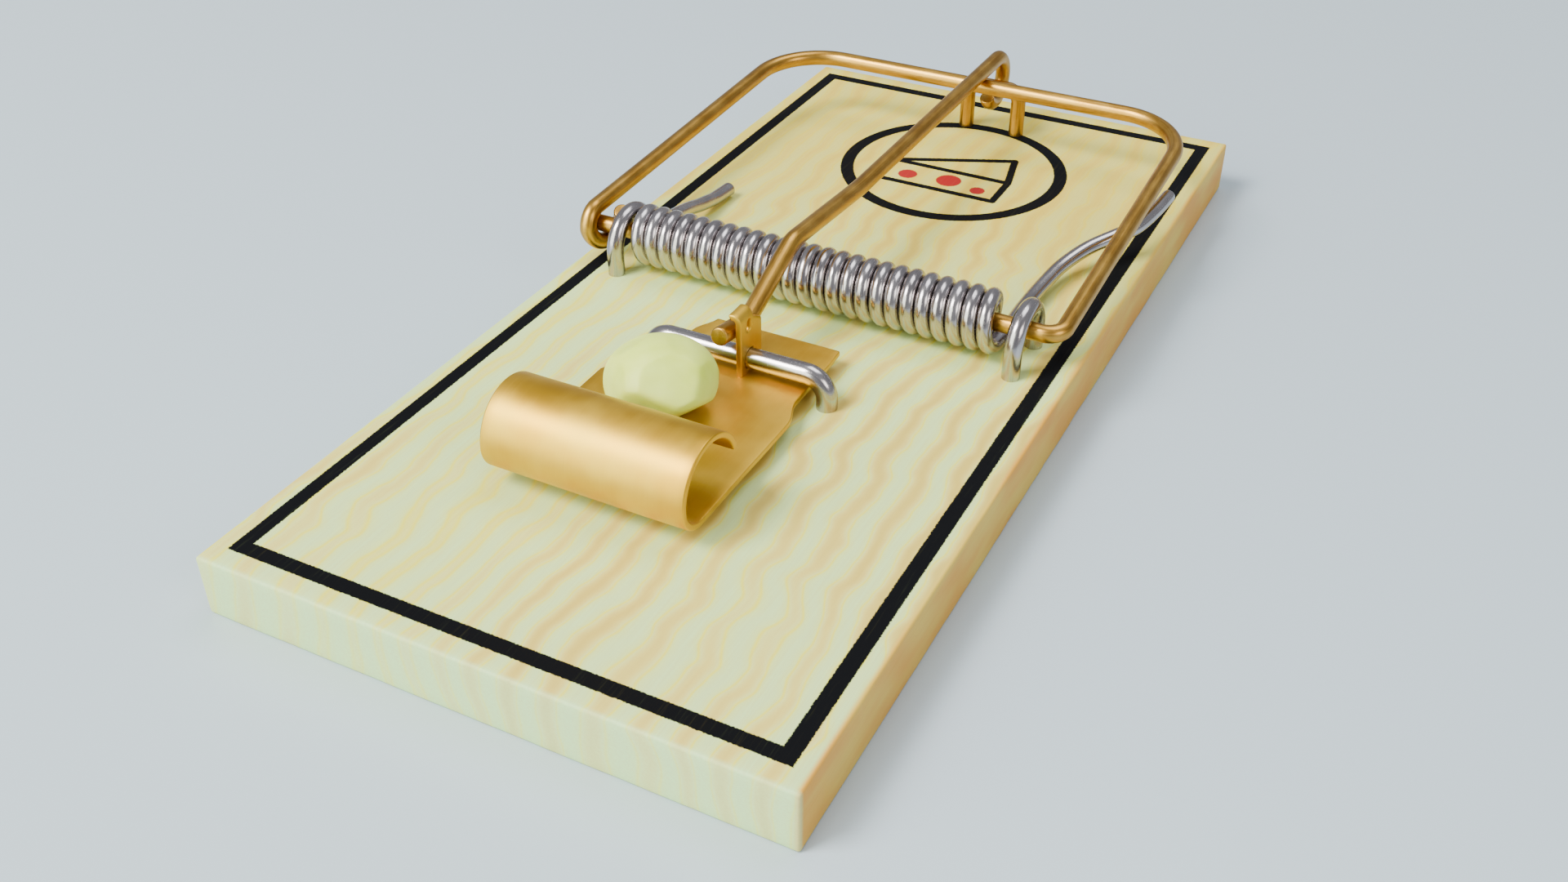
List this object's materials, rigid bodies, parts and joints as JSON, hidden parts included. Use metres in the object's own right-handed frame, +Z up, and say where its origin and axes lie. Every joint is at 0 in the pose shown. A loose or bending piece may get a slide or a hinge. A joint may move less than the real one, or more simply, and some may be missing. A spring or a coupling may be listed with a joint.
{
  "type": "snap mouse trap",
  "caption": "Wooden snap mouse trap shown set: torsion spring, wire striker and hold-down bar, curled bait pedal with a catch plate and a lump of bait.",
  "frame": {"origin": "middle of the wooden base's underside", "axes": "+Z up, +Y towards the end with the hold-down bar's staple, +X to the right seen from the bait end"},
  "size_m": [0.046, 0.098, 0.0137],
  "materials": {
    "wood": "raw planed",
    "brass_wire": "satin",
    "copper_sheet": "satin",
    "spring_steel": "polished",
    "bait": "waxy"
  },
  "bodies": {
    "base": {"wooden_base": "wood", "left_axle_staple": "spring_steel", "right_axle_staple": "spring_steel", "hold_down_staple": "brass_wire", "trigger_staple": "spring_steel", "torsion_spring": "spring_steel"},
    "striker": {"striker": "brass_wire", "spring_striker_tail": "spring_steel"},
    "hold_down": {"hold_down_bar": "brass_wire"},
    "pedal": {"bait_pedal": "copper_sheet", "catch_plate": "copper_sheet", "bait": "bait"}
  },
  "joints": [
    {"name": "striker_swing", "type": "hinge", "parent": "base", "child": "striker", "pos_m": [0, 0, 0.008], "axis": [1, 0, 0], "range_deg": [0, 178.5]},
    {"name": "hold_down_swing", "type": "hinge", "parent": "base", "child": "hold_down", "pos_m": [0, 0.0413, 0.0097], "axis": [-1, 0, 0], "range_deg": [0, 184]},
    {"name": "pedal_tilt", "type": "hinge", "parent": "base", "child": "pedal", "pos_m": [-0.0005, -0.0132, 0.0076], "axis": [1, 0, 0], "range_deg": [-4, 2.5]}
  ]
}
